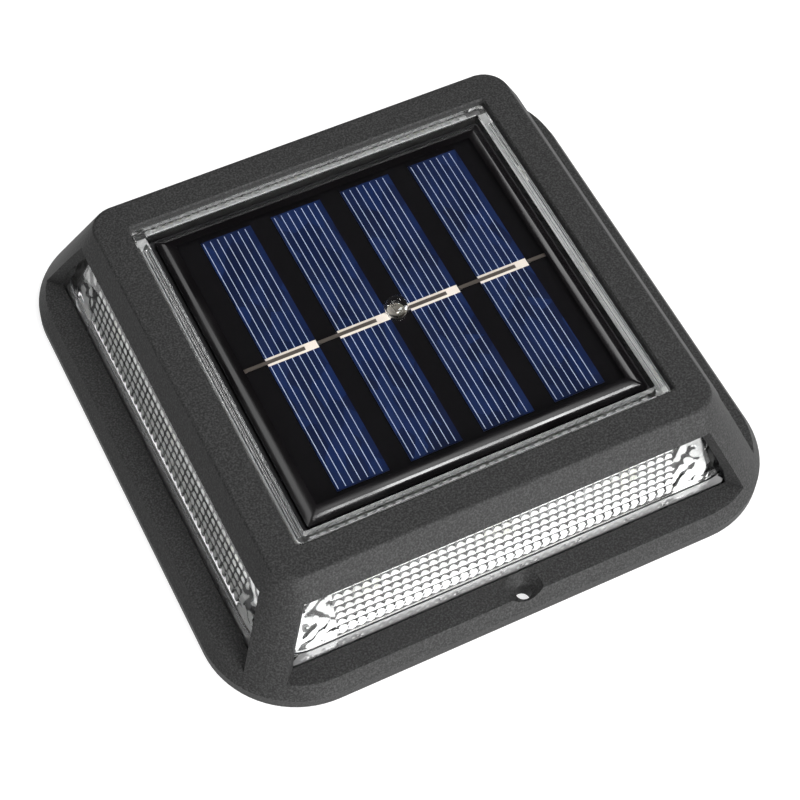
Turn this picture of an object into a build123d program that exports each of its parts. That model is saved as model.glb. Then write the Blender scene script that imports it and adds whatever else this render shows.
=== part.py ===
from build123d import *
import os

# A low square solar light that is screwed flat to a step, a deck board or a drive.
# Millimetres. +Z is up, the base stands on Z = 0, and the two fixing holes lie along Y.

# Outer housing
BASE_HALF = 60.0        # half the width of the base
BASE_CORNER = 19.5      # corner radius of the base
BAND_TOP = 2.4          # top of the upright band round the base
RING_HALF = 46.5        # half the width of the flat ring on top
RING_CORNER = 5.3
HEIGHT = 26.0           # top of the ring; only the sensor's round head stands higher
RING_EDGE = 0.8         # rounding of the ring's outer edge
RING_UNDER = 23.6       # underside of the ring
OPENING_HALF = 40.0     # half the width of the opening in the ring
OPENING_EDGE = 0.35     # bevel round the opening
CAVITY_FOOT_HALF = 53.1
CAVITY_FOOT_CORNER = 7.4
CAVITY_BEND = 9.8       # height where the cavity's walls start to lean inward
CAVITY_BEND_HALF = 52.9
CAVITY_BEND_CORNER = 10.2
CAVITY_TOP_HALF = 46.0
CAVITY_TOP_CORNER = 4.9
SILL = 5.5              # level floor of the window pockets
WINDOW_TOP = 21.0
POST_OFFSET = 5.9       # a pocket's end walls run along |x| = |y| - POST_OFFSET
RECESS_HALF = 54.1      # recess in the underside for the bottom cover
RECESS_CORNER = 6.3
RECESS_TOP = 2.6
HOLE_Y = 56.6           # fixing holes for M3 countersunk screws
HOLE_R = 1.6
HOLE_DISH_R = 3.7
HOLE_DISH_DEPTH = 1.8
HOLE_BOSS_R = 3.3
BOSS_XY = 50.2          # corner bosses that take the cover screws
BOSS_R = 3.2
BOSS_TOP = 10.0
PILOT_R = 1.35
PILOT_TOP = 8.8
GROOVE_Y = 56.9         # moulded grooves in the underside of the base
GROOVE_WIDTH = 2.6
GROOVE_START = 7.0
GROOVE_END = 40.0
GROOVE_TOP = 3.3

# Clear lens
LENS_BOTTOM = 3.6
LENS_FOOT_HALF = 52.6
LENS_FOOT_CORNER = 7.0
LENS_LEDGE_CORNER = 9.8
LENS_LEDGE = 8.3        # top of the smooth foot, where the beaded slope starts
LENS_SLOPE_HALF = 52.1
LENS_SHOULDER = 23.2
LENS_SHOULDER_HALF = 45.6
LENS_SHOULDER_CORNER = 4.6
LENS_RIM_HALF = 39.6
LENS_RIM_TOP = 25.0
LENS_TRAY_HALF = 37.4   # tray in the lens that holds the panel
LENS_TRAY = 21.6
LENS_CEILING = 19.6     # underside of the lens's top plate
LENS_SEAT_HALF = 50.3   # step inside the foot, where the bottom cover's rib stands
LENS_STEP = 4.2         # height of that step, where the thick ribbed wall starts
LENS_INNER_HALF = 48.8
LENS_INNER_CORNER = 5.0
LENS_INNER_TOP_HALF = 45.2
LENS_WALL = 2.0         # wall round the hollows for the corner bosses
RIB_COUNT = 37          # light-spreading ribs up the inside of each wall
RIB_PITCH = 1.97
RIB_DEPTH = 0.5
RIB_RUN_OUT = 1.8       # length over which a rib's foot runs out to a point

# Solar panel
PANEL_X = 0.3           # the panel sits a little to one side in its tray, as in the photo
GASKET_HALF = 35.6
GASKET_INNER_HALF = 31.5
BOARD_BOTTOM = 22.2
BOARD_TOP = 23.4
BOARD_HALF = 36.3
RESIN_TOP = 24.5
RESIN_EDGE = 0.7
CELL_WIDTH = 10.9
CELL_LENGTH = 63.6
CELL_PITCH = 15.44
CELL_TOP = 23.7
CELL_X = 0.75           # middle of the row of cells
RIBBON_WIDTH = 0.8
RIBBON_TOP = 23.85
RIBBON_ON_CELL = 8.2    # how far a ribbon reaches over its cell
RIBBON_END_LEFT = -32.6
RIBBON_END_RIGHT = 34.0
SENSOR_X = 0.45
SENSOR_Y = 0.7
SENSOR_R = 2.28
SENSOR_SEAT = 23.95     # the head stands over the middle ribbon
SENSOR_DOME = 25.2      # height of the round head's centre
SENSOR_LEG_STEP = 1.27
SENSOR_LEG_R = 0.2

# Electronics
PCB_BOTTOM = 8.0
PCB_TOP = 9.6
PCB_HALF = 46.6
PCB_POST_XY = 37.0
LED_REACH = 44.8        # distance of the LEDs from the middle
LED_STEP = 28.0
TRAY_HALF = 48.0        # white tray under the board, seen behind the lens's lowest beads
TRAY_BEND = 4.8
TRAY_TOP_HALF = 47.2
TRAY_TOP = 7.9
TRAY_WALL = 1.4
BATTERY_R = 7.25
BATTERY_LENGTH = 49.3
BATTERY_Y = 18.0
BATTERY_Z = 11.2
HOLDER_HALF = 31.0
HOLDER_WALL = 1.4
SWITCH_X = -24.0
SWITCH_Y = -24.0
TRAVEL = 1.5            # travel of the push button

# Bottom cover
COVER_BOTTOM = 0.6
COVER_HALF = 53.8
COVER_CORNER = 6.0
COVER_TOP = 2.6
COVER_RIB = 1.4         # height of the rib that stands inside the lens's foot
COVER_SCREW_HEAD_R = 2.5
COVER_SCREW_R = 1.25
WELL_R = 8.0            # well in the cover that the button is reached through
WELL_TOP = 5.6
WELL_ROOF = 7.0
WELL_HOLE_R = 3.6
BOOT_R = 3.4            # rubber boot over the push button
BOOT_BOTTOM = 4.5
BOOT_WALL = 0.6
BUTTON_R = 2.3
BUTTON_BOTTOM = 5.3
BUTTON_TOP = 6.5
CLEARANCE = 0.05

corners = [(1, 1), (-1, 1), (-1, -1), (1, -1)]


def outline(half, corner, z):
    return Plane.XY.offset(z) * RectangleRounded(2 * half, 2 * half, corner)


def slab(half, corner, bottom, top):
    return extrude(outline(half, corner, bottom), top - bottom)


def taper(half_0, corner_0, z_0, half_1, corner_1, z_1):
    return loft([outline(half_0, corner_0, z_0), outline(half_1, corner_1, z_1)], ruled=True)


def block(x_0, x_1, y_0, y_1, z_0, z_1):
    centre = ((x_0 + x_1) / 2, (y_0 + y_1) / 2, (z_0 + z_1) / 2)
    return Pos(*centre) * Box(x_1 - x_0, y_1 - y_0, z_1 - z_0)


def post(x, y, radius, bottom, top):
    return Pos(x, y, (bottom + top) / 2) * Cylinder(radius, top - bottom)


def cone(x, y, radius_0, z_0, radius_1, z_1):
    return Pos(x, y, (z_0 + z_1) / 2) * Cone(radius_0, radius_1, z_1 - z_0)


def wire(points, radii, radius):
    path = FilletPolyline(*points, radius=radii) if radii else Polyline(*points)
    start = Plane(origin=path @ 0, z_dir=path % 0)
    return sweep(start * Circle(radius), path=path)


def save(shape, node, rgb):
    shape.label = node
    shape.color = Color(*rgb)
    export_step(shape, "parts/" + node + ".step")


def envelope():
    body = slab(BASE_HALF, BASE_CORNER, 0, BAND_TOP)
    return body + taper(BASE_HALF, BASE_CORNER, BAND_TOP, RING_HALF, RING_CORNER, HEIGHT)


def cavity():
    body = slab(CAVITY_FOOT_HALF, CAVITY_FOOT_CORNER, 0, SILL)
    body += taper(CAVITY_FOOT_HALF, CAVITY_FOOT_CORNER, SILL,
                  CAVITY_BEND_HALF, CAVITY_BEND_CORNER, CAVITY_BEND)
    return body + taper(CAVITY_BEND_HALF, CAVITY_BEND_CORNER, CAVITY_BEND,
                        CAVITY_TOP_HALF, CAVITY_TOP_CORNER, RING_UNDER)


def pocket_plan(reach):
    inner = 44.0
    half_in = inner - POST_OFFSET
    half_out = reach - POST_OFFSET
    return make_face(Polyline(
        (-half_in, -inner), (half_in, -inner), (half_out, -reach), (-half_out, -reach), close=True))


def make_frame():
    outer = envelope()
    ring_edge = outer.edges().group_by(Axis.Z)[-1]
    inside = cavity()
    body = fillet(ring_edge, RING_EDGE) - inside
    opening = slab(OPENING_HALF, 0.8, RING_UNDER - 1, HEIGHT)
    opening += taper(OPENING_HALF, 0.8, HEIGHT - OPENING_EDGE,
                     OPENING_HALF + OPENING_EDGE, 0.8 + OPENING_EDGE, HEIGHT)
    body -= opening
    body -= slab(RECESS_HALF, RECESS_CORNER, 0, RECESS_TOP)
    # Window pockets, one to a side, between upright walls that run along the diagonals
    pocket = extrude(Plane.XY.offset(SILL) * pocket_plan(70.0), WINDOW_TOP - SILL)
    for turn in range(4):
        body -= Rot(0, 0, 90 * turn) * pocket
    # Corner bosses for the cover screws
    for sx, sy in corners:
        boss = post(sx * BOSS_XY, sy * BOSS_XY, BOSS_R, RECESS_TOP, BOSS_TOP)
        body += boss & inside
        body -= post(sx * BOSS_XY, sy * BOSS_XY, PILOT_R, RECESS_TOP, PILOT_TOP)
    # Fixing holes with a dished mouth
    for side in (-1, 1):
        y = side * HOLE_Y
        body += post(0, y, HOLE_BOSS_R, 0, SILL) & outer
        body -= post(0, y, HOLE_R, 0, SILL)
        body -= cone(0, y, HOLE_R, SILL - HOLE_DISH_DEPTH, HOLE_DISH_R, SILL)
        body -= post(0, y, HOLE_DISH_R, SILL, SILL + 2)
    # Grooves that keep the moulding an even thickness
    length = GROOVE_END - GROOVE_START
    groove = extrude(SlotOverall(length, GROOVE_WIDTH), GROOVE_TOP)
    for turn in range(4):
        for side in (-1, 1):
            x = side * (GROOVE_START + length / 2)
            body -= Rot(0, 0, 90 * turn) * Pos(x, -GROOVE_Y, 0) * groove
    return body


def lens_outer():
    body = slab(LENS_FOOT_HALF, LENS_FOOT_CORNER, LENS_BOTTOM, SILL)
    body += taper(LENS_FOOT_HALF, LENS_FOOT_CORNER, SILL,
                  LENS_FOOT_HALF - 0.2, LENS_LEDGE_CORNER, LENS_LEDGE)
    body += taper(LENS_SLOPE_HALF, LENS_LEDGE_CORNER - 0.3, LENS_LEDGE,
                  LENS_SHOULDER_HALF, LENS_SHOULDER_CORNER, LENS_SHOULDER)
    body += slab(LENS_RIM_HALF, 0.6, LENS_SHOULDER, LENS_RIM_TOP)
    return body


def lens_ribs():
    # The scalloped profile of one wall's ribs, drawn square to the wall and swept up along it
    rise = LENS_CEILING - LENS_STEP
    lean = LENS_INNER_HALF - LENS_INNER_TOP_HALF
    up_wall = Vector(0, lean, rise).normalized()
    start = Plane(origin=(0, -LENS_INNER_HALF, LENS_STEP), x_dir=(1, 0, 0), z_dir=up_wall)
    end = RIB_COUNT * RIB_PITCH / 2
    knots = [-end + index * RIB_PITCH for index in range(RIB_COUNT + 1)]
    edges = [SagittaArc((a, 0), (b, 0), RIB_DEPTH) for a, b in zip(knots, knots[1:])]
    edges += Polyline((end, 0), (end, -1.0), (-end, -1.0), (-end, 0)).edges()
    ribs = extrude(start * make_face(edges), Vector(0, lean, rise).length + 0.4, dir=up_wall)
    # A slanted cut makes the foot of each rib run out to a point
    side = Plane(origin=(-end - 1, -LENS_INNER_HALF, LENS_STEP), x_dir=(0, 1, 0), z_dir=(1, 0, 0))
    below = make_face(Polyline((-2, -2), (0, 0), (1.5, 1.5 * RIB_RUN_OUT / RIB_DEPTH), (3, -2),
                               close=True))
    return ribs - extrude(side * below, 2 * end + 2, dir=(1, 0, 0))


def make_lens():
    outer = lens_outer()
    body = outer - slab(LENS_SEAT_HALF, LENS_INNER_CORNER, LENS_BOTTOM, LENS_STEP)
    body -= taper(LENS_INNER_HALF, LENS_INNER_CORNER, LENS_STEP,
                  LENS_INNER_TOP_HALF, 4.0, LENS_CEILING)
    body -= slab(LENS_TRAY_HALF, 0.6, LENS_TRAY, LENS_RIM_TOP)
    ribs = lens_ribs()
    for turn in range(4):
        body += Rot(0, 0, 90 * turn) * ribs
    # Hollows that clear the frame's corner bosses, with a wall round each
    gap = 0.4
    for sx, sy in corners:
        x = sx * BOSS_XY
        y = sy * BOSS_XY
        sleeve = post(x, y, BOSS_R + gap + LENS_WALL, LENS_BOTTOM, BOSS_TOP + gap + LENS_WALL)
        body += sleeve & outer
        body -= post(x, y, BOSS_R + gap, LENS_BOTTOM, BOSS_TOP + gap)
    # Holes for the sensor's legs and the panel's two leads
    body -= post(0, 0, 2.4, LENS_CEILING, LENS_TRAY)
    for x in (-28.5, 28.5):
        body -= post(x, 0, 1.5, LENS_CEILING, LENS_TRAY)
    return body


def cell_x(index):
    return CELL_X + (index - 1.5) * CELL_PITCH


def make_cell(index):
    x = cell_x(index)
    half = CELL_WIDTH / 2
    return block(x - half, x + half, -CELL_LENGTH / 2, CELL_LENGTH / 2, BOARD_TOP, CELL_TOP)


def ribbon_span(index):
    left = RIBBON_END_LEFT if index == 0 else cell_x(index - 1) + CELL_WIDTH / 2 + 0.1
    right = RIBBON_END_RIGHT if index == 4 else cell_x(index) - CELL_WIDTH / 2 + RIBBON_ON_CELL
    return left, right


def make_ribbon(index):
    left, right = ribbon_span(index)
    half = RIBBON_WIDTH / 2
    strip = block(left, right, -half, half, CELL_TOP, RIBBON_TOP)
    # Each ribbon drops to the board in the gap before its cell
    drop_end = min(left + 0.6, right)
    return strip + block(left, drop_end, -half, half, BOARD_TOP, RIBBON_TOP)


def sensor_leg(side, radius, bottom, top):
    return post(SENSOR_X + side * SENSOR_LEG_STEP, SENSOR_Y, radius, bottom, top)


def make_sensor():
    head = Pos(SENSOR_X, SENSOR_Y, SENSOR_DOME) * Sphere(SENSOR_R)
    head -= block(-5, 5, -5, 5, SENSOR_DOME - 5, SENSOR_DOME)
    head += post(SENSOR_X, SENSOR_Y, SENSOR_R, SENSOR_SEAT, SENSOR_DOME)
    for side in (-1, 1):
        head += sensor_leg(side, SENSOR_LEG_R, PCB_TOP, SENSOR_SEAT + 0.3)
    return head


def make_panel_board():
    body = Pos(PANEL_X, 0, 0) * slab(BOARD_HALF, 0.6, BOARD_BOTTOM, BOARD_TOP)
    for side in (-1, 1):
        body -= sensor_leg(side, SENSOR_LEG_R + CLEARANCE, BOARD_BOTTOM, BOARD_TOP)
    return body


def make_resin(cells, ribbons):
    body = Pos(PANEL_X, 0, 0) * slab(BOARD_HALF, 0.6, BOARD_TOP, RESIN_TOP)
    body = fillet(body.edges().group_by(Axis.Z)[-1], RESIN_EDGE)
    for piece in cells + ribbons:
        body -= piece
    body -= post(SENSOR_X, SENSOR_Y, SENSOR_R + CLEARANCE, SENSOR_SEAT - 0.1, RESIN_TOP)
    for side in (-1, 1):
        body -= sensor_leg(side, SENSOR_LEG_R + CLEARANCE, BOARD_TOP, SENSOR_SEAT)
    return body


def make_gasket():
    ring = slab(GASKET_HALF, 0.6, LENS_TRAY, BOARD_BOTTOM)
    ring -= slab(GASKET_INNER_HALF, 0.6, LENS_TRAY, BOARD_BOTTOM)
    return Pos(PANEL_X, 0, 0) * ring


def make_reflector():
    foot = PCB_TOP + 0.4
    top = LENS_CEILING - 0.4
    body = taper(43.2, 4.0, foot, 39.6, 3.0, top)
    body -= taper(42.0, 3.4, foot, 38.4, 2.4, top)
    flange = slab(43.2, 4.0, foot, foot + 1.0) - slab(40.6, 3.0, foot, foot + 1.0)
    return body + flange


def make_tray():
    body = slab(TRAY_HALF, 3.1, COVER_TOP, TRAY_BEND)
    body += taper(TRAY_HALF, 3.1, TRAY_BEND, TRAY_TOP_HALF, 3.0, TRAY_TOP)
    inner = TRAY_TOP_HALF - TRAY_WALL
    body -= slab(inner, 2.4, COVER_TOP, TRAY_TOP - 1.0)
    body -= slab(inner - 1.6, 2.0, TRAY_TOP - 1.0, TRAY_TOP)
    for sx, sy in corners:
        body -= post(sx * BOSS_XY, sy * BOSS_XY, BOSS_R + LENS_WALL + 1.0, COVER_TOP, TRAY_TOP)
    return body


def make_pcb():
    body = slab(PCB_HALF, 2.0, PCB_BOTTOM, PCB_TOP)
    hold = HOLDER_HALF + 0.6
    body -= block(-hold, hold, BATTERY_Y - 9.4, BATTERY_Y + 9.4, PCB_BOTTOM, PCB_TOP)
    for sx, sy in corners:
        body -= post(sx * PCB_POST_XY, sy * PCB_POST_XY, 1.1, PCB_BOTTOM, PCB_TOP)
        # Scalloped corners clear the lens's sleeves
        body -= post(sx * BOSS_XY, sy * BOSS_XY, BOSS_R + LENS_WALL + 1.0, PCB_BOTTOM, PCB_TOP)
    body -= post(SWITCH_X, SWITCH_Y, BUTTON_R + 0.5, PCB_BOTTOM, PCB_TOP)
    return body


def make_leds():
    group = []
    for turn in range(4):
        for step in (-LED_STEP, 0, LED_STEP):
            lamp = block(step - 1.75, step + 1.75, -LED_REACH - 1.4, -LED_REACH + 1.4,
                         PCB_TOP, PCB_TOP + 1.9)
            cup = cone(step, -LED_REACH, 0.9, PCB_TOP + 1.3, 1.2, PCB_TOP + 1.9)
            group.append(Rot(0, 0, 90 * turn) * (lamp - cup))
    return Compound(children=group)


def make_board_screws():
    group = []
    for sx, sy in corners:
        x = sx * PCB_POST_XY
        y = sy * PCB_POST_XY
        screw = post(x, y, 2.0, PCB_TOP, PCB_TOP + 1.4)
        screw += post(x, y, 0.95, PCB_BOTTOM - 4.0, PCB_TOP)
        screw = fillet(screw.edges().group_by(Axis.Z)[-1], 0.5)
        slot = Pos(x, y, PCB_TOP + 1.1) * Box(2.2, 0.5, 0.7)
        slot += Pos(x, y, PCB_TOP + 1.1) * Box(0.5, 2.2, 0.7)
        group.append(screw - slot)
    return Compound(children=group)


def make_chip():
    body = Pos(10, -22, PCB_TOP + 0.95) * Box(4.9, 3.9, 1.5)
    for index in range(4):
        for side in (-1, 1):
            x = 10 + (index - 1.5) * 1.27
            body += Pos(x, -22 + side * 2.4, PCB_TOP + 0.15) * Box(0.42, 1.2, 0.3)
            body += Pos(x, -22 + side * 2.0, PCB_TOP + 0.45) * Box(0.42, 0.3, 0.9)
    return body


def make_inductor():
    profile = Plane.XZ * make_face(Polyline(
        (0, 0), (3.0, 0), (3.0, 0.9), (2.4, 0.9), (2.4, 3.7), (3.0, 3.7), (3.0, 4.6), (0, 4.6),
        close=True))
    return Pos(22, -22, PCB_TOP) * revolve(profile, Axis.Z)


def make_capacitor():
    can = post(34, -22, 2.5, PCB_TOP, PCB_TOP + 7.0)
    can = fillet(can.edges().group_by(Axis.Z)[-1], 0.5)
    return can - (post(34, -22, 2.7, PCB_TOP + 1.2, PCB_TOP + 1.6)
                  - post(34, -22, 2.25, PCB_TOP + 1.2, PCB_TOP + 1.6))


def make_battery():
    half = BATTERY_LENGTH / 2
    body = Pos(0, BATTERY_Y, BATTERY_Z) * Rot(0, 90, 0) * Cylinder(BATTERY_R, BATTERY_LENGTH)
    body = fillet(body.edges().filter_by(GeomType.CIRCLE), 0.6)
    nub = Pos(half + 0.6, BATTERY_Y, BATTERY_Z) * Rot(0, 90, 0) * Cylinder(2.6, 1.2)
    return body + nub


def make_holder():
    reach = BATTERY_R + 0.25 + HOLDER_WALL
    floor = COVER_TOP
    top = BATTERY_Z + 1.5
    body = block(-HOLDER_HALF, HOLDER_HALF, BATTERY_Y - reach, BATTERY_Y + reach, floor, top)
    trough = Pos(0, BATTERY_Y, BATTERY_Z) * Rot(0, 90, 0) * Cylinder(
        BATTERY_R + 0.25, 2 * HOLDER_HALF - 2 * HOLDER_WALL)
    inner = HOLDER_HALF - HOLDER_WALL
    trough += block(-inner, inner, BATTERY_Y - BATTERY_R - 0.25, BATTERY_Y + BATTERY_R + 0.25,
                    BATTERY_Z, top)
    body -= trough
    # Slots that the two contacts slide into, and a finger gap in the front wall
    for side in (-1, 1):
        body -= block(side * 30.0 - 0.3, side * 30.0 + 0.3, BATTERY_Y - 5, BATTERY_Y + 5,
                      BATTERY_Z - 5, top)
        body -= block(side * 29.5 - 0.5, side * 29.5 + 0.5, BATTERY_Y - 4, BATTERY_Y + 4,
                      BATTERY_Z - 4.3, top)
    body -= Pos(0, BATTERY_Y - reach, top) * Rot(90, 0, 0) * Cylinder(8.0, 6.0)
    return body


def make_contact_plate():
    plate = block(29.75, 30.25, BATTERY_Y - 4.8, BATTERY_Y + 4.8, BATTERY_Z - 4.8, 14.6)
    dimple = Pos(27.85, BATTERY_Y, BATTERY_Z) * Rot(0, -90, 0) * Cone(2.6, 1.6, 3.9)
    return plate + dimple


def make_contact_spring():
    plate = block(-30.25, -29.75, BATTERY_Y - 4.8, BATTERY_Y + 4.8, BATTERY_Z - 4.8, 14.6)
    # A tab joins the coil's first turn to the plate
    plate += block(-29.75, -28.8, BATTERY_Y - 0.6, BATTERY_Y + 0.6, BATTERY_Z - 4.1, BATTERY_Z - 3.1)
    coil = Helix(pitch=1.5, height=4.0, radius=3.6, cone_angle=-20)
    start = Plane(origin=coil @ 0, z_dir=coil % 0)
    spring = sweep(start * Circle(0.35), path=coil)
    return plate + Pos(-29.25, BATTERY_Y, BATTERY_Z) * Rot(0, 90, 0) * spring


def make_panel_lead(side):
    x = side * 28.5
    points = [(x, 0, BOARD_BOTTOM), (x, 0, 17.0), (x + side * 4.0, -2.5, 13.5),
              (x + side * 4.0, -2.5, PCB_TOP)]
    return wire(points, [2.2, 1.9], 0.6)


def make_battery_lead(side):
    points = [(side * 30.3, BATTERY_Y - 3.6, 13.8), (side * 32.6, BATTERY_Y - 3.6, 13.8),
              (side * 35.2, BATTERY_Y - 5.6, 12.2), (side * 35.2, BATTERY_Y - 5.6, PCB_TOP)]
    return wire(points, [1.8, 1.8], 0.6)


def make_switch_body():
    body = Pos(SWITCH_X, SWITCH_Y, PCB_TOP + 3.0) * Box(8.4, 8.4, 6.0)
    body = chamfer(body.edges().filter_by(Axis.Z), 0.5)
    return body - post(SWITCH_X, SWITCH_Y, 1.4, PCB_TOP, PCB_TOP + 4.6)


def make_switch_button():
    cap = post(SWITCH_X, SWITCH_Y, BUTTON_R, BUTTON_BOTTOM, BUTTON_TOP)
    cap = fillet(cap.edges().group_by(Axis.Z)[0], 0.5)
    return cap + post(SWITCH_X, SWITCH_Y, 1.3, BUTTON_TOP, PCB_TOP + 2.6)


def make_switch_boot():
    top = WELL_ROOF + BOOT_WALL
    cup = post(SWITCH_X, SWITCH_Y, BOOT_R, BOOT_BOTTOM, WELL_ROOF)
    cup = fillet(cup.edges().group_by(Axis.Z)[0], 0.5)
    cup += post(SWITCH_X, SWITCH_Y, 5.4, WELL_ROOF, top)
    return cup - post(SWITCH_X, SWITCH_Y, BOOT_R - BOOT_WALL, BOOT_BOTTOM + BOOT_WALL, top)


def make_cover():
    top = COVER_TOP
    body = slab(COVER_HALF, COVER_CORNER, COVER_BOTTOM, top)
    body = chamfer(body.edges().group_by(Axis.Z)[0], 0.5)
    # Upright rib that stands inside the lens and backs the seal
    rib = slab(49.7, 4.4, top, top + COVER_RIB) - slab(48.1, 3.2, top, top + COVER_RIB)
    for sx, sy in corners:
        x = sx * BOSS_XY
        y = sy * BOSS_XY
        rib -= post(x, y, BOSS_R + LENS_WALL + 1.0, top, top + COVER_RIB)
    body += rib
    for sx, sy in corners:
        x = sx * BOSS_XY
        y = sy * BOSS_XY
        body -= post(x, y, 1.45, COVER_BOTTOM, top)
        body -= cone(x, y, COVER_SCREW_HEAD_R + 0.1, COVER_BOTTOM, 1.35, COVER_BOTTOM + 1.3)
        pillar = post(sx * PCB_POST_XY, sy * PCB_POST_XY, 2.6, top, PCB_BOTTOM)
        body += pillar - post(sx * PCB_POST_XY, sy * PCB_POST_XY, 1.0, top + 1.0, PCB_BOTTOM)
    # Well round the push button
    body += post(SWITCH_X, SWITCH_Y, WELL_R + 1.4, COVER_BOTTOM, WELL_ROOF)
    body -= post(SWITCH_X, SWITCH_Y, WELL_R, COVER_BOTTOM, WELL_TOP)
    body -= post(SWITCH_X, SWITCH_Y, WELL_HOLE_R, WELL_TOP, WELL_ROOF)
    # Notches round the frame's fixing holes
    for side in (-1, 1):
        body -= post(0, side * HOLE_Y, HOLE_BOSS_R + 0.4, COVER_BOTTOM, top)
    return body


def make_seal():
    top = LENS_BOTTOM
    bottom = COVER_TOP
    ring = slab(52.4, 6.8, bottom, top) - slab(50.2, 4.8, bottom, top)
    for sx, sy in corners:
        ring -= post(sx * BOSS_XY, sy * BOSS_XY, BOSS_R + 0.3, bottom, top)
        sleeve = post(sx * BOSS_XY, sy * BOSS_XY, BOSS_R + LENS_WALL + 0.3, bottom, top)
        sleeve -= post(sx * BOSS_XY, sy * BOSS_XY, BOSS_R + 0.3, bottom, top)
        ring += sleeve & slab(52.4, 6.8, bottom, top)
    return ring


def make_cover_screws():
    group = []
    for sx, sy in corners:
        x = sx * BOSS_XY
        y = sy * BOSS_XY
        screw = cone(x, y, COVER_SCREW_HEAD_R, COVER_BOTTOM, COVER_SCREW_R, COVER_BOTTOM + 1.25)
        screw += post(x, y, COVER_SCREW_R, COVER_BOTTOM + 1.25, 8.2)
        slot = Pos(x, y, COVER_BOTTOM + 0.4) * Box(2.6, 0.55, 0.8)
        slot += Pos(x, y, COVER_BOTTOM + 0.4) * Box(0.55, 2.6, 0.8)
        group.append(screw - slot)
    return Compound(children=group)


os.makedirs("parts", exist_ok=True)
cells = [make_cell(index) for index in range(4)]
ribbons = [make_ribbon(index) for index in range(5)]

save(make_frame(), "frame", (0.10, 0.10, 0.11))
save(make_lens(), "lens", (0.85, 0.88, 0.90))
save(make_gasket(), "panel_gasket", (0.08, 0.08, 0.08))
save(make_panel_board(), "panel_board", (0.02, 0.02, 0.02))
for number, piece in enumerate(cells, start=1):
    save(piece, "solar_cell_" + str(number), (0.05, 0.08, 0.25))
for number, piece in enumerate(ribbons, start=1):
    save(piece, "cell_ribbon_" + str(number), (0.55, 0.55, 0.55))
save(make_resin(cells, ribbons), "panel_resin", (0.80, 0.82, 0.85))
save(make_sensor(), "light_sensor", (0.80, 0.85, 0.90))
save(make_reflector(), "reflector", (0.92, 0.92, 0.92))
save(make_tray(), "reflector_tray", (0.92, 0.92, 0.92))
save(make_pcb(), "led_board", (0.90, 0.91, 0.89))
save(make_leds(), "leds", (0.95, 0.90, 0.60))
save(make_board_screws(), "board_screws", (0.60, 0.60, 0.62))
save(make_chip(), "driver_chip", (0.03, 0.03, 0.03))
save(make_inductor(), "inductor", (0.25, 0.22, 0.20))
save(make_capacitor(), "capacitor", (0.10, 0.12, 0.30))
save(make_battery(), "battery", (0.15, 0.45, 0.20))
save(make_holder(), "battery_holder", (0.06, 0.06, 0.06))
save(make_contact_plate(), "contact_plate", (0.70, 0.68, 0.60))
save(make_contact_spring(), "contact_spring", (0.70, 0.70, 0.70))
save(make_panel_lead(-1), "panel_lead_black", (0.03, 0.03, 0.03))
save(make_panel_lead(1), "panel_lead_red", (0.70, 0.05, 0.05))
save(make_battery_lead(-1), "battery_lead_black", (0.03, 0.03, 0.03))
save(make_battery_lead(1), "battery_lead_red", (0.70, 0.05, 0.05))
save(make_switch_body(), "switch_body", (0.10, 0.10, 0.10))
save(make_switch_button(), "switch_button", (0.85, 0.85, 0.82))
save(make_switch_boot(), "switch_boot", (0.15, 0.15, 0.16))
save(make_cover(), "bottom_cover", (0.05, 0.05, 0.05))
save(make_seal(), "cover_seal", (0.55, 0.56, 0.58))
save(make_cover_screws(), "cover_screws", (0.60, 0.60, 0.62))
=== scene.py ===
import math

import bpy
import numpy as np
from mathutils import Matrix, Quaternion, Vector


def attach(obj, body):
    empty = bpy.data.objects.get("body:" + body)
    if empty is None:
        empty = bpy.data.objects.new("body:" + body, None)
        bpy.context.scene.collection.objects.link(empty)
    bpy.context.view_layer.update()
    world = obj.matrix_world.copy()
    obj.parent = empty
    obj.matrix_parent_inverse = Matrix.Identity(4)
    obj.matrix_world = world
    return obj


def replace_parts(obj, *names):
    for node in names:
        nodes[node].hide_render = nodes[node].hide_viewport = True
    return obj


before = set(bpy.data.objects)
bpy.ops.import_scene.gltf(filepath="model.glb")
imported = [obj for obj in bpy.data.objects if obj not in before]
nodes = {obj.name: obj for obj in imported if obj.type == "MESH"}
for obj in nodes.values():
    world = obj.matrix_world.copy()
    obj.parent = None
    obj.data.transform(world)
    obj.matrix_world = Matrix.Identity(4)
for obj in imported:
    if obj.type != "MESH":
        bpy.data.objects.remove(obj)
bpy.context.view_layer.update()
MM = 0.001
scene = bpy.context.scene


# ---------------------------------------------------------------- material helpers

def srgb(r, g, b):
    """A colour written as 0-255 display values, in Blender's linear numbers."""
    out = []
    for value in (r, g, b):
        value /= 255
        out.append(value / 12.92 if value <= 0.04045 else ((value + 0.055) / 1.055) ** 2.4)
    return (*out, 1.0)


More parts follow.
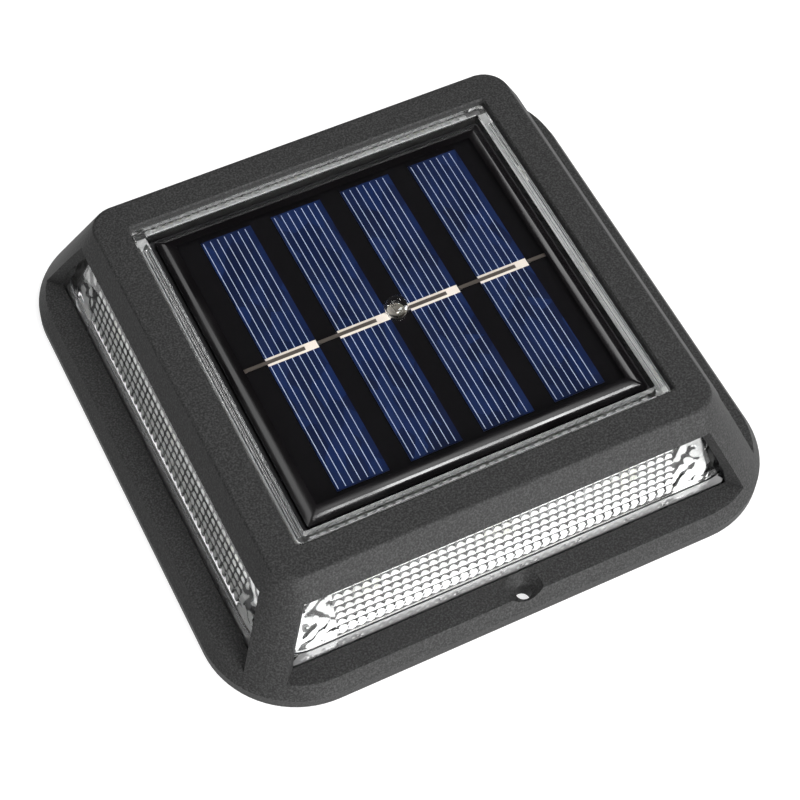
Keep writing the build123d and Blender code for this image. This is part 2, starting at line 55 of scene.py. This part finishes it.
class Shade:
    """A material with its nodes, linked by short calls."""

    def __init__(self, name, **sockets):
        self.mat = bpy.data.materials.new(name)
        self.mat.use_nodes = True
        self.tree = self.mat.node_tree
        self.body = self.tree.nodes["Principled BSDF"]
        self.out = self.tree.nodes["Material Output"]
        for key, value in sockets.items():
            self.body.inputs[key.replace("_", " ")].default_value = value
        self.place = self.add("ShaderNodeTexCoord").outputs["Object"]

    def add(self, kind, **values):
        node = self.tree.nodes.new(kind)
        for key, value in values.items():
            if hasattr(node, key):
                setattr(node, key, value)
            else:
                node.inputs[key.replace("_", " ")].default_value = value
        return node

    def link(self, source, node, socket):
        self.tree.links.new(source, node.inputs[socket])

    def noise(self, scale, detail=3.0, rough=0.55, stretch=None):
        node = self.add("ShaderNodeTexNoise", Scale=scale, Detail=detail, Roughness=rough)
        source = self.place
        if stretch:
            mapping = self.add("ShaderNodeMapping")
            mapping.inputs["Scale"].default_value = stretch
            self.link(source, mapping, "Vector")
            source = mapping.outputs["Vector"]
        self.link(source, node, "Vector")
        return node.outputs["Fac"]

    def dots(self, scale):
        node = self.add("ShaderNodeTexVoronoi", Scale=scale)
        self.link(self.place, node, "Vector")
        return node.outputs["Distance"]

    def ramp(self, source, *stops):
        node = self.add("ShaderNodeValToRGB")
        ramp = node.color_ramp
        while len(ramp.elements) < len(stops):
            ramp.elements.new(0.5)
        for element, (position, colour) in zip(ramp.elements, stops):
            element.position = position
            element.color = colour if len(colour) == 4 else (*colour, 1.0)
        self.link(source, node, "Fac")
        return node.outputs["Color"]

    def grey(self, source, *stops):
        return self.ramp(source, *[(at, (value, value, value, 1.0)) for at, value in stops])

    def mix(self, amount, colour_a, colour_b, blend="MIX"):
        node = self.add("ShaderNodeMix", data_type="RGBA", blend_type=blend)
        for socket, value in ((0, amount), (6, colour_a), (7, colour_b)):
            if isinstance(value, bpy.types.NodeSocket):
                self.tree.links.new(value, node.inputs[socket])
            else:
                node.inputs[socket].default_value = value
        return node.outputs[2]

    def sum(self, source_a, source_b, weight):
        node = self.add("ShaderNodeMath", operation="MULTIPLY_ADD")
        self.link(source_b, node, 0)
        node.inputs[1].default_value = weight
        self.tree.links.new(source_a, node.inputs[2])
        return node.outputs[0]

    def bump(self, height, depth_mm, strength=1.0):
        node = self.add("ShaderNodeBump", Strength=strength, Distance=depth_mm * MM)
        self.link(height, node, "Height")
        self.link(node.outputs["Normal"], self.body, "Normal")

    def colour(self, source):
        self.link(source, self.body, "Base Color")

    def rough(self, source):
        self.link(source, self.body, "Roughness")


def moulded(name, rgb, rough, grain, depth, vary=0.12):
    """Plain moulded plastic: a fine grain, slight colour drift and uneven gloss."""
    shade = Shade(name, Roughness=rough)
    base = srgb(*rgb)
    dark = tuple(c * (1 - vary) for c in base[:3])
    light = tuple(min(1.0, c * (1 + vary)) for c in base[:3])
    drift = shade.noise(60.0, 4.0)
    shade.colour(shade.ramp(drift, (0.35, dark), (0.65, light)))
    fine = shade.noise(grain, 2.0)
    shade.rough(shade.grey(fine, (0.3, rough - 0.06), (0.7, rough + 0.08)))
    shade.bump(fine, depth)
    return shade.mat


def metal(name, rgb, rough, scratch=(900.0, 60.0, 900.0)):
    """Bare metal with fine drawn-out scratches."""
    shade = Shade(name, Metallic=1.0, Roughness=rough)
    base = srgb(*rgb)
    worn = shade.noise(1.0, 5.0, 0.6, stretch=scratch)
    shade.colour(shade.ramp(worn, (0.3, tuple(c * 0.85 for c in base[:3])), (0.7, base[:3])))
    shade.rough(shade.grey(worn, (0.3, rough - 0.08), (0.7, rough + 0.12)))
    shade.bump(worn, 0.008)
    return shade.mat


def clear(name, tint, rough, ior=1.49, haze=None):
    """Clear plastic. Lamps reach what is behind it, so its shadow is see-through.

    With a haze, that share of it is a milky veil.
    """
    shade = Shade(name, Roughness=rough, IOR=ior, Base_Color=tint)
    shade.body.inputs["Transmission Weight"].default_value = 1.0
    through = shade.add("ShaderNodeBsdfTransparent", Color=(1.0, 1.0, 1.0, 1.0))
    ray = shade.add("ShaderNodeLightPath")
    mixer = shade.add("ShaderNodeMixShader")
    shade.link(ray.outputs["Is Shadow Ray"], mixer, 0)
    shade.tree.links.new(shade.body.outputs[0], mixer.inputs[1])
    shade.tree.links.new(through.outputs[0], mixer.inputs[2])
    shade.link(mixer.outputs[0], shade.out, "Surface")
    if haze:
        milk = shade.add("ShaderNodeBsdfDiffuse", Color=(0.3, 0.3, 0.3, 1.0))
        veil = shade.add("ShaderNodeMixShader")
        cloud = shade.noise(300.0, 3.0)
        shade.link(shade.grey(cloud, (0.3, haze * 0.8), (0.7, haze * 1.2)), veil, 0)
        shade.tree.links.new(shade.body.outputs[0], veil.inputs[1])
        shade.tree.links.new(milk.outputs[0], veil.inputs[2])
        shade.tree.links.new(veil.outputs[0], mixer.inputs[1])
    return shade.mat


# ---------------------------------------------------------------- materials

def housing_material():
    """Dark grey sand-textured coating: a mottled tone over a pebbled surface."""
    shade = Shade("housing_coat", Roughness=0.55)
    shade.body.inputs["Specular IOR Level"].default_value = 0.2
    grains = shade.dots(2300.0)
    coarse = shade.noise(2700.0, 2.0, 0.5)
    drift = shade.noise(35.0, 3.0)
    tone = shade.ramp(coarse, (0.30, srgb(42, 42, 42)), (0.50, srgb(58, 58, 58)),
                      (0.68, srgb(78, 78, 78)))
    soft = shade.grey(drift, (0.3, 0.98), (0.7, 1.02))
    shade.colour(shade.mix(1.0, tone, soft, "MULTIPLY"))
    shade.rough(shade.grey(coarse, (0.3, 0.5), (0.7, 0.62)))
    shade.bump(shade.sum(coarse, grains, 0.6), 0.07, 0.9)
    return shade.mat


def cell_material():
    """Polycrystalline silicon: navy crystals of slightly different shade."""
    shade = Shade("solar_cell", Roughness=0.35, Specular_IOR_Level=0.12)
    crystal = shade.add("ShaderNodeTexVoronoi", Scale=330.0)
    stretch = shade.add("ShaderNodeMapping")
    stretch.inputs["Scale"].default_value = (1.0, 0.55, 1.0)
    shade.link(shade.place, stretch, "Vector")
    shade.link(stretch.outputs["Vector"], crystal, "Vector")
    parted = shade.add("ShaderNodeSeparateColor")
    shade.link(crystal.outputs["Color"], parted, "Color")
    tone = shade.ramp(parted.outputs[0], (0.0, srgb(8, 20, 50)), (0.5, srgb(12, 27, 63)),
                      (1.0, srgb(18, 36, 78)))
    cloud = shade.grey(shade.noise(120.0, 3.0), (0.3, 0.88), (0.7, 1.1))
    shade.colour(shade.mix(1.0, tone, cloud, "MULTIPLY"))
    shade.rough(shade.grey(parted.outputs[1], (0.0, 0.28), (1.0, 0.42)))
    return shade.mat


def board_material(name, rgb, rough, gloss=0.5):
    """Coated board, with the weave of the glass cloth just showing."""
    shade = Shade(name, Roughness=rough, Specular_IOR_Level=gloss)
    base = srgb(*rgb)
    weave = shade.noise(1.0, 2.0, stretch=(1500.0, 1500.0, 400.0))
    shade.colour(shade.ramp(weave, (0.3, tuple(c * 0.9 for c in base[:3])), (0.7, base[:3])))
    shade.bump(weave, 0.006)
    return shade.mat


def wrapped_battery():
    """Shrink-wrapped cell: a grey-green sleeve with bare steel ends."""
    shade = Shade("battery_wrap", Roughness=0.32)
    part = shade.add("ShaderNodeSeparateXYZ")
    shade.link(shade.place, part, "Vector")
    reach = shade.add("ShaderNodeMath", operation="ABSOLUTE")
    shade.link(part.outputs["X"], reach, 0)
    # The sleeve stops just short of each end of the cell
    ends = shade.grey(reach.outputs[0], (0.0236, 0.0), (0.0239, 1.0))
    body = shade.ramp(shade.noise(80.0, 3.0), (0.35, srgb(52, 96, 92)), (0.65, srgb(60, 108, 104)))
    shade.colour(shade.mix(ends, body, srgb(180, 180, 178)))
    shade.link(ends, shade.body, "Metallic")
    shade.bump(shade.noise(1.0, 2.0, stretch=(200.0, 900.0, 900.0)), 0.01)
    return shade.mat


looks = {
    "frame": housing_material(),
    "lens": clear("lens_clear", (0.985, 0.985, 0.985, 1.0), 0.015),
    "foam": moulded("foam_gasket", (30, 30, 32), 0.85, 1400.0, 0.05),
    "panel_board": board_material("panel_board_black", (14, 13, 15), 0.6, 0.04),
    "cell": cell_material(),
    "ribbon": metal("tinned_ribbon", (104, 97, 91), 0.42, (200.0, 2500.0, 200.0)),
    "resin": clear("panel_resin_clear", (0.99, 0.99, 0.99, 1.0), 0.05, 1.5),
    "sensor": clear("sensor_clear", (0.98, 0.98, 0.98, 1.0), 0.0, 1.5),
    "reflector": moulded("reflector_white", (240, 241, 240), 0.35, 1200.0, 0.008, 0.03),
    "circuit_board": board_material("circuit_board_white", (240, 241, 240), 0.35),
    "led": moulded("led_body", (240, 240, 232), 0.4, 2000.0, 0.004, 0.03),
    "steel": metal("screw_steel", (165, 166, 168), 0.32, (700.0, 700.0, 90.0)),
    "chip": moulded("chip_epoxy", (26, 26, 28), 0.55, 2400.0, 0.008),
    "ferrite": moulded("ferrite_core", (48, 46, 46), 0.7, 1800.0, 0.03),
    "capacitor": moulded("capacitor_sleeve", (24, 30, 44), 0.3, 1500.0, 0.004),
    "battery": wrapped_battery(),
    "black_plastic": moulded("holder_plastic", (28, 28, 29), 0.5, 1000.0, 0.015),
    "contact": metal("nickel_contact", (188, 186, 180), 0.25),
    "lead_red": moulded("lead_red_sheath", (150, 24, 22), 0.45, 1200.0, 0.01),
    "lead_black": moulded("lead_black_sheath", (22, 22, 23), 0.45, 1200.0, 0.01),
    "button": moulded("button_plastic", (224, 224, 220), 0.42, 1000.0, 0.01, 0.03),
    "boot": moulded("boot_rubber", (27, 27, 28), 0.72, 1500.0, 0.03),
    "cover": moulded("cover_plastic", (40, 40, 41), 0.55, 700.0, 0.03),
    "seal": moulded("seal_silicone", (88, 89, 91), 0.6, 1300.0, 0.02),
}

for node in nodes.values():
    for index, old in enumerate(node.data.materials):
        node.data.materials[index] = looks[old.name]


# ---------------------------------------------------------------- mesh helpers

def mesh_piece(name, points, faces, material, slot, sharp=35.0):
    """A mesh from points in millimetres, smooth except at edges sharper than the given angle."""
    mesh = bpy.data.meshes.new(name)
    mesh.from_pydata([tuple(c * MM for c in p) for p in points], [], faces)
    mesh.validate()
    mesh.shade_smooth()
    mesh.set_sharp_from_angle(angle=math.radians(sharp))
    mesh.materials.append(material)
    piece = bpy.data.objects.new(name, mesh)
    scene.collection.objects.link(piece)
    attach(piece, "housing")
    return piece


def skin(rings, closed=False):
    """Points and faces of a skin over rings that all have the same number of points.

    A closed skin runs on from its last ring to its first, and any other gets a face at each end.
    """
    count = len(rings[0])
    points = np.concatenate(rings)
    total = len(rings)
    faces = []
    for i in range(total if closed else total - 1):
        a = i * count
        b = ((i + 1) % total) * count
        for j in range(count):
            k = (j + 1) % count
            faces.append((a + j, a + k, b + k, b + j))
    if not closed:
        faces.append(tuple(reversed(range(count))))
        faces.append(tuple(range((total - 1) * count, total * count)))
    return points, faces


def joined(parts):
    """Points and faces of several parts as one."""
    points, faces = [], []
    for more, quads in parts:
        faces += [tuple(len(points) + i for i in quad) for quad in quads]
        points += [tuple(p) for p in more]
    return points, faces


# ---------------------------------------------------------------- the clear lens

# Shape, in millimetres
INNER_WALL = ((4.2, 48.15), (7.6, 47.75), (19.6, 46.1))     # (height, half width)
FOOT, CEILING_Z = 4.2, 19.6
FLANGE_FOOT = 3.6
COLUMNS = 37
PITCH = 1.97            # width of one column of beads
BEAD_HALF = COLUMNS * PITCH / 2
ROW = 1.72              # height of one bead up the wall
TOOTH_TOP = 7.6         # below this the columns run out to points
BEAD_R = 1.0            # each bead is a cap of this sphere
BEAD_DEPTH = 0.64
TOOTH_DEPTH = 0.6
TOOTH_HALF = 0.93       # half the width of a tooth at its root
FRONT_SHARE = 0.8       # how deep the beads stand on the front and back
SIDE_SHARE = 0.55       # and on the two sides
FACET_DEPTH = 0.75
RIDGE_DEPTH = 0.4
RIDGE_PITCH = 0.7
CEILING_ROWS = ((36.92, 38.85), (38.89, 40.82))             # beads seen through the rim
BOSS_XY = 50.2          # the housing's corner bosses
BOSS_SLEEVE = 5.6       # radius of the lens's inside round a boss
BOSS_GAP = 3.6          # radius of its outside round a boss
SLEEVE_TOP = 12.4

# Mesh
CUTS = 6                # steps across one bead
END_CUTS = 10           # steps between the last bead and the corner
CORNER_STEPS = 12
CEILING_CUTS = 10
TOOTH_CUTS = 15
STATIONS = np.linspace(-BEAD_HALF, BEAD_HALF, COLUMNS * CUTS + 1)
ACROSS = (((STATIONS / PITCH + 0.5) % 1.0) - 0.5) * PITCH   # distance from the column's middle
CEILING = [36.7, *(half for row in CEILING_ROWS for half in np.linspace(*row, CEILING_CUTS)),
           42.0, 44.0, 46.0]


def lens_ring(half, corner, z):
    """One ring round the lens, anticlockwise from the front side, with the same stations on all."""
    straight = half - corner
    share = np.linspace(0, 1, END_CUTS + 1)
    if straight > BEAD_HALF:
        left = -straight + (straight - BEAD_HALF) * share[:-1]
        right = BEAD_HALF + (straight - BEAD_HALF) * share[1:]
        along = np.concatenate([left, STATIONS, right])
    else:
        along = np.linspace(-straight, straight, len(STATIONS) + 2 * END_CUTS)
    side = np.stack([along, np.full_like(along, -half)], axis=1)
    angle = np.radians(-90 + 90 * np.arange(1, CORNER_STEPS) / CORNER_STEPS)
    arc = np.stack([straight + corner * np.cos(angle), -straight + corner * np.sin(angle)], axis=1)
    quarter = np.concatenate([side, arc])
    rings = []
    for turn in range(4):
        c, s = math.cos(turn * math.pi / 2), math.sin(turn * math.pi / 2)
        rings.append(quarter @ np.array([[c, s], [-s, c]]))
    flat = np.concatenate(rings)
    return np.column_stack([flat, np.full(len(flat), z)])


PER_SIDE = len(lens_ring(50, 5, 0)) // 4


def facets(ring, z):
    """Uneven facets on the inside between the last bead and each corner."""
    out = ring.copy()
    share = np.arange(1, END_CUTS) / END_CUTS
    fade = np.sin(share * math.pi) ** 0.5
    for turn in range(4):
        c, s = math.cos(turn * math.pi / 2), math.sin(turn * math.pi / 2)
        for end in (0, 1):
            phase = 1.7 * turn + 2.9 * end
            wave = 2 * share + 0.16 * z + 0.35 * math.sin(0.8 * z + phase) + phase
            fold = 2 * np.abs(wave % 1.0 - 0.5)
            cross = 2 * np.abs((0.23 * z - 1.3 * share + phase) % 1.0 - 0.5)
            depth = FACET_DEPTH * fade * (0.6 * fold + 0.4 * cross)
            a = turn * PER_SIDE + (END_CUTS + len(STATIONS) if end else 1)
            out[a:a + END_CUTS - 1, :2] += np.outer(depth if end else depth[::-1], [-s, c])
    return out


def cap(across, along):
    """Height of a bead over its base, across and along in millimetres from its middle."""
    dome = np.sqrt(np.maximum(0.0, BEAD_R ** 2 - across ** 2 - along ** 2))
    return np.maximum(0.0, dome - (BEAD_R - BEAD_DEPTH))


def bead_profile(z):
    """How far the inside stands in at each station of one side, at height z."""
    if z < TOOTH_TOP:
        # The foot of each column is cut to a point
        slant = max(0.0, (z - FOOT - 0.2) / (TOOTH_TOP - FOOT - 0.2))
        width = TOOTH_HALF * max(0.02, slant ** 0.6)
        depth = TOOTH_DEPTH * min(slant * 1.15, math.sqrt(max(0.0, 1 - slant ** 6)))
        return depth * np.sqrt(np.maximum(0.0, 1 - (ACROSS / width) ** 2))
    along = (((z - TOOTH_TOP) / ROW) % 1.0 - 0.5) * ROW
    return cap(ACROSS, along)


def notch(ring, radius):
    """Pulls a ring in where it would run into a corner boss of the housing."""
    out = ring.copy()
    for sx in (-1, 1):
        for sy in (-1, 1):
            centre = np.array([sx, sy]) * BOSS_XY
            away = out[:, :2] - centre
            for i in np.nonzero(np.hypot(*away.T) < radius)[0]:
                p = out[i, :2]
                aim = -np.array([sx, sy]) / math.sqrt(2)
                # Slide the point towards the middle until it lies on the circle
                rel = p - centre
                b = rel @ aim
                slide = -b + math.sqrt(b * b - (rel @ rel - radius ** 2))
                out[i, :2] = p + slide * aim
    return out


def inset(ring, amounts):
    """Moves the bead stations of each side of a ring inwards by the given amounts."""
    out = ring.copy()
    for turn in range(4):
        a = turn * PER_SIDE + END_CUTS
        c, s = math.cos(turn * math.pi / 2), math.sin(turn * math.pi / 2)
        inward = np.array([-s, c])
        share = FRONT_SHARE if turn % 2 == 0 else SIDE_SHARE
        out[a:a + len(STATIONS), :2] += np.outer(share * amounts, inward)
    return out


def drop(ring, along):
    """Hangs beads from the ceiling on the front and back, and plain ridges on the two sides.

    along is the distance from the row's middle.
    """
    out = ring.copy()
    ridge = RIDGE_DEPTH * max(0.0, math.cos(2 * math.pi * along / RIDGE_PITCH))
    for turn in range(4):
        a = turn * PER_SIDE + END_CUTS
        out[a:a + len(STATIONS), 2] -= cap(ACROSS, along) if turn % 2 == 0 else ridge
    return out


def lens_inside():
    """Rings from the middle of the ceiling out, and down to the foot."""
    rings = []
    for half in CEILING:
        ring = lens_ring(half, min(4.0, max(0.15, half - BEAD_HALF - 0.2)), CEILING_Z)
        for low, high in CEILING_ROWS:
            if low < half < high:
                ring = drop(ring, half - (low + high) / 2)
        rings.append(ring)
    heights = [*np.arange(CEILING_Z - 0.01, TOOTH_TOP, -ROW / CUTS), TOOTH_TOP - 0.001,
               *np.linspace(TOOTH_TOP - 0.15, FOOT + 0.02, TOOTH_CUTS)]
    for z in heights:
        half = float(np.interp(z, *zip(*INNER_WALL)))
        ring = inset(lens_ring(half, 4.0 + (CEILING_Z - z) / 15, z), bead_profile(z))
        ring = facets(ring, z)
        rings.append(notch(ring, BOSS_SLEEVE) if z < SLEEVE_TOP else ring)
    rings += [notch(lens_ring(50.3, 5.0, z), BOSS_SLEEVE) for z in (FOOT, FLANGE_FOOT)]
    return rings


def lens_outside():
    """Rings from the foot of the flange up to the rim, and down into the panel's tray."""
    flange_rings = ((52.6, 7.0, FLANGE_FOOT), (52.6, 7.0, 5.5), (52.4, 9.8, 8.2), (52.1, 9.5, 8.3),
                    (51.15, 8.8, 10.4))
    upper_rings = ((51.15, 8.8, 10.41), (45.6, 4.6, 23.2), (39.6, 0.8, 23.2), (39.6, 0.8, 24.85),
                   (39.45, 0.7, 25.0), (37.5, 0.6, 25.0), (37.4, 0.6, 24.9), (37.4, 0.6, 21.6))
    return [notch(lens_ring(*ring), BOSS_GAP) for ring in flange_rings] + \
        [lens_ring(*ring) for ring in upper_rings]


def make_lens():
    points, faces = skin(lens_inside() + lens_outside())
    piece = mesh_piece("lens_optic", points, faces, looks["lens"], "lens", sharp=30.0)
    # Slot 1 paints the caps of the ceiling's beads frosted white, a painted highlight standing in for
    # the light the clear beads catch; slot 2 is the flange
    piece.data.materials.append(moulded("lens_bead_caps_painted_highlight", (236, 237, 237), 0.35, 1500.0, 0.01, 0.03))
    piece.data.materials.append(clear("lens_flange", (0.985, 0.985, 0.985, 1.0), 0.14, haze=0.6))
    for face in piece.data.polygons:
        x, y, z = (c / MM for c in face.center)
        reach = max(abs(x), abs(y))
        in_rows = CEILING_ROWS[0][0] < reach < CEILING_ROWS[1][1]
        if in_rows and CEILING_Z - 0.8 < z < CEILING_Z - 0.15:
            face.material_index = 1
        elif 3.7 < z < 8.1 and reach > 52.2:
            face.material_index = 2
    return piece


lens = make_lens()
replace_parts(lens, "lens")


# ---------------------------------------------------------------- the panel's resin

PANEL_X = 0.3           # the panel sits a little to one side in its tray
SENSOR = (0.45, 0.7)    # middle of the light sensor
RESIN_TOP = 24.5
SIDE_POINTS = 40


def square_ring(half, corner, z):
    """A square ring with rounded corners, round the middle of the panel."""
    ring = []
    straight = half - corner
    for turn in range(4):
        c, s = math.cos(turn * math.pi / 2), math.sin(turn * math.pi / 2)
        side = [(x, -half) for x in np.linspace(-straight, straight, SIDE_POINTS)]
        for step in range(1, 4):
            a = math.radians(-90 + 22.5 * step)
            side.append((straight + corner * math.cos(a), -straight + corner * math.sin(a)))
        ring += [(x * c - y * s + PANEL_X, x * s + y * c, z) for x, y in side]
    return np.array(ring)


def round_ring(like, radius, z):
    """A circle round the sensor whose points face the points of a square ring."""
    away = like[:, :2] - np.array(SENSOR)
    away /= np.linalg.norm(away, axis=1)[:, None]
    flat = np.array(SENSOR) + radius * away
    return np.column_stack([flat, np.full(len(flat), z)])


# Top edge of the resin from the rim inwards: a steep foot, a flat facet, then a slow curve
RESIN_EDGE = [(36.1, 23.64), (35.8, 23.83), (35.5, 23.99), (35.25, 24.12), (35.2, 24.14),
              (34.8, 24.302), (34.75, 24.321)]
RESIN_EDGE += [(half, RESIN_TOP - 0.0585 * (half - 33.0) ** 2)
               for half in (34.5, 34.2, 33.9, 33.6, 33.3, 33.0)]
RESIN_EDGE += [(32.5, RESIN_TOP), (28.0, RESIN_TOP)]
# Middle of the top, with the well of the sensor
RESIN_WELL = ((5.0, RESIN_TOP), (3.2, RESIN_TOP), (2.75, RESIN_TOP + 0.03), (2.6, RESIN_TOP),
              (2.52, 24.4))


def make_resin():
    edge = square_ring(36.25, 0.4, 23.3)
    rings = [round_ring(edge, 2.5, 23.3), edge, square_ring(36.25, 0.4, 23.55)]
    rings += [square_ring(half, 0.4, z) for half, z in RESIN_EDGE]
    rings += [round_ring(edge, radius, z) for radius, z in RESIN_WELL]
    points, faces = skin(rings, closed=True)
    piece = mesh_piece("resin_layer", points, faces, looks["resin"], "resin", sharp=40.0)
    # The rounded edge is black right through, over the black board
    piece.data.materials.append(moulded("resin_edge_black", (17, 15, 17), 0.15, 60.0, 0.0))
    for face in piece.data.polygons:
        x, y, z = (c / MM for c in face.center)
        if max(abs(x - PANEL_X), abs(y)) > 32.9:
            face.material_index = 1
    return piece


resin = make_resin()
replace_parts(resin, "panel_resin")


def make_gasket_and_gap_shade():
    """The foam under the panel, run out to the wall of the tray: partly the foam itself, partly a
    dark band put in the gap as painted shade.
    """
    profile = ((30.0, 21.65), (37.3, 21.65), (37.35, 21.9), (37.3, 22.5), (36.9, 22.75), (36.5, 22.7),
               (36.2, 22.55), (36.0, 22.3), (30.0, 22.28))
    rings = [square_ring(half, 0.5, z) - np.array([PANEL_X, 0, 0]) for half, z in profile]
    points, faces = skin(rings, closed=True)
    return mesh_piece("foam_seal_and_gap_shade", points, faces, looks["foam"], "foam", sharp=50.0)


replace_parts(make_gasket_and_gap_shade(), "panel_gasket")


# ---------------------------------------------------------------- silver lines on the cells

# Places of the first and last finger on each cell
FINGERS = ((-27.41, -18.32), (-11.83, -2.83), (3.58, 12.51), (19.0, 27.82))
FINGER_COUNT = 7
FINGER_HALF = 0.06
FINGER_REACH = 31.4
CELL_MIDDLES = [0.75 + (i - 1.5) * 15.44 for i in range(4)]
BUSBAR_HALF = (5.4, 0.95)
CELL_TOP = 23.70


def strip(x_0, x_1, y_0, y_1, z_1):
    """A thin printed strip on the cells."""
    corners = ((x_0, y_0), (x_1, y_0), (x_1, y_1), (x_0, y_1))
    points = [(x, y, z) for z in (CELL_TOP, z_1) for x, y in corners]
    faces = [(3, 2, 1, 0), (4, 5, 6, 7), (0, 1, 5, 4), (1, 2, 6, 5), (2, 3, 7, 6), (3, 0, 4, 7)]
    return points, faces


silver = moulded("finger_silver", (184, 198, 222), 0.4, 2500.0, 0.004, 0.08)
paste = moulded("busbar_paste", (234, 224, 212), 0.5, 1600.0, 0.006, 0.06)

for index, (first, last) in enumerate(FINGERS):
    lines = []
    for step in range(FINGER_COUNT):
        x = first + (last - first) * step / (FINGER_COUNT - 1)
        lines.append(strip(x - FINGER_HALF, x + FINGER_HALF, -FINGER_REACH, FINGER_REACH, 23.725))
    mesh_piece(f"cell_fingers_{index + 1}", *joined(lines), silver, "ribbon")
    middle = CELL_MIDDLES[index]
    wide, deep = BUSBAR_HALF
    bar = strip(middle - wide, middle + wide, -deep, deep, 23.73)
    mesh_piece(f"cell_busbar_{index + 1}", *bar, paste, "ribbon")


# ---------------------------------------------------------------- the sensor

def turned(profile, centre, steps=48):
    """Rings of a turned shape from its (radius, height) profile."""
    angle = np.linspace(0, 2 * math.pi, steps, endpoint=False)
    rings = []
    for radius, z in profile:
        rings.append(np.column_stack([centre[0] + radius * np.cos(angle),
                                      centre[1] + radius * np.sin(angle), np.full(steps, z)]))
    return rings


DOME_R, DOME_Z = 2.27, 25.2
DOME = [(0.05, 23.97), (2.1, 23.97), (2.25, 24.05), (DOME_R, DOME_Z)]
DOME += [(DOME_R * math.cos(a), DOME_Z + DOME_R * math.sin(a))
         for a in np.radians(np.arange(7.5, 88, 7.5))]
DOME += [(0.05, 27.47)]
CHIP = [(0.02, 24.15), (0.9, 24.15), (0.95, 24.2), (0.95, 24.35), (0.55, 24.42), (0.5, 24.5),
        (0.02, 24.5)]
LEG = [(0.19, 9.7), (0.2, 9.8), (0.2, 24.2), (0.15, 24.25)]
LEG_APART = 1.27        # from the sensor's middle

points, faces = skin(turned(DOME, SENSOR))
sensor = mesh_piece("sensor_head", points, faces, looks["sensor"], "sensor", sharp=50)
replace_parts(sensor, "light_sensor")
points, faces = skin(turned(CHIP, SENSOR, 32))
mesh_piece("sensor_chip", points, faces, metal("sensor_chip_metal", (208, 202, 190), 0.3), "sensor")
legs = [skin(turned(LEG, (SENSOR[0] + side * LEG_APART, SENSOR[1]), 12)) for side in (-1, 1)]
mesh_piece("sensor_legs", *joined(legs), looks["contact"], "sensor")


# ---------------------------------------------------------------- studio

FLOOR_HALF = 3.0


def make_floor():
    """A grey floor for the light on the object, which the camera sees as white."""
    corners = [(x * FLOOR_HALF, y * FLOOR_HALF, 0) for x, y in ((-1, -1), (1, -1), (1, 1), (-1, 1))]
    mesh = bpy.data.meshes.new("studio_floor")
    mesh.from_pydata(corners, [], [(0, 1, 2, 3)])
    floor = bpy.data.objects.new("studio_floor", mesh)
    scene.collection.objects.link(floor)
    shade = Shade("floor_paper", Roughness=0.9, Base_Color=(0.5, 0.5, 0.5, 1.0))
    ray = shade.add("ShaderNodeLightPath")
    glossy = shade.add("ShaderNodeMath", operation="MAXIMUM")
    seen = shade.add("ShaderNodeMath", operation="MAXIMUM")
    shade.link(ray.outputs["Is Camera Ray"], glossy, 0)
    shade.link(ray.outputs["Is Glossy Ray"], glossy, 1)
    shade.link(glossy.outputs[0], seen, 0)
    shade.link(ray.outputs["Is Transmission Ray"], seen, 1)
    shade.body.inputs["Emission Color"].default_value = (1, 1, 1, 1)
    glow = shade.add("ShaderNodeMath", operation="MULTIPLY")
    shade.link(seen.outputs[0], glow, 0)
    glow.inputs[1].default_value = 0.78
    shade.link(glow.outputs[0], shade.body, "Emission Strength")
    mesh.materials.append(shade.mat)


AIM = Vector((0, 0, 0.012))


def area(name, place, size, power, roll=0.0):
    """A soft lamp aimed at the middle of the object; roll turns its long side, in degrees."""
    lamp = bpy.data.lights.new(name, "AREA")
    lamp.shape = "RECTANGLE"
    lamp.size, lamp.size_y = size
    lamp.energy = power
    thing = bpy.data.objects.new(name, lamp)
    scene.collection.objects.link(thing)
    thing.location = place
    facing = (AIM - thing.location).to_track_quat("-Z", "Y")
    thing.rotation_euler = (facing @ Quaternion((0, 0, 1), math.radians(roll))).to_euler()


# Grey of the world by height, from straight down to straight up
WORLD_STOPS = ((0.0, 0.10), (0.25, 0.09), (0.5, 0.02), (0.88, 0.02), (0.965, 0.35), (1.0, 0.5))


def make_world():
    world = bpy.data.worlds.new("studio")
    scene.world = world
    world.use_nodes = True
    tree = world.node_tree
    back = tree.nodes["Background"]
    place = tree.nodes.new("ShaderNodeTexCoord")
    part = tree.nodes.new("ShaderNodeSeparateXYZ")
    ramp = tree.nodes.new("ShaderNodeValToRGB")
    tree.links.new(place.outputs["Generated"], part.inputs[0])
    tree.links.new(part.outputs["Z"], ramp.inputs["Fac"])
    elements = ramp.color_ramp.elements
    while len(elements) < len(WORLD_STOPS):
        elements.new(0.5)
    for element, (at, value) in zip(elements, WORLD_STOPS):
        element.position = at
        element.color = (value, value, value, 1)
    tree.links.new(ramp.outputs["Color"], back.inputs["Color"])
    back.inputs["Strength"].default_value = 1.0


make_floor()
make_world()
area("key_front", (0.30, -1.50, 0.50), (1.2, 0.6), 31.0)
area("soft_over", (0.47, -0.475, 1.49), (0.44, 0.14), 4.9, -46.0)
area("soft_top", (0.44, 0.10, 1.50), (0.5, 0.35), 1.6)
area("soft_left", (-0.62, 0.60, 1.23), (0.9, 0.7), 4.7)
area("soft_right", (0.98, 0.56, 0.88), (0.5, 0.5), 3.0)


def make_camera():
    data = bpy.data.cameras.new("camera")
    data.lens = 99.615
    data.sensor_width = 36.0
    camera = bpy.data.objects.new("camera", data)
    scene.collection.objects.link(camera)
    camera.location = (-0.11951, -0.22019, 0.38019)
    camera.rotation_euler = (math.radians(32.842), math.radians(-1.617), math.radians(-26.388))
    data.clip_start = 0.01
    scene.camera = camera


make_camera()
scene.view_settings.view_transform = "Standard"
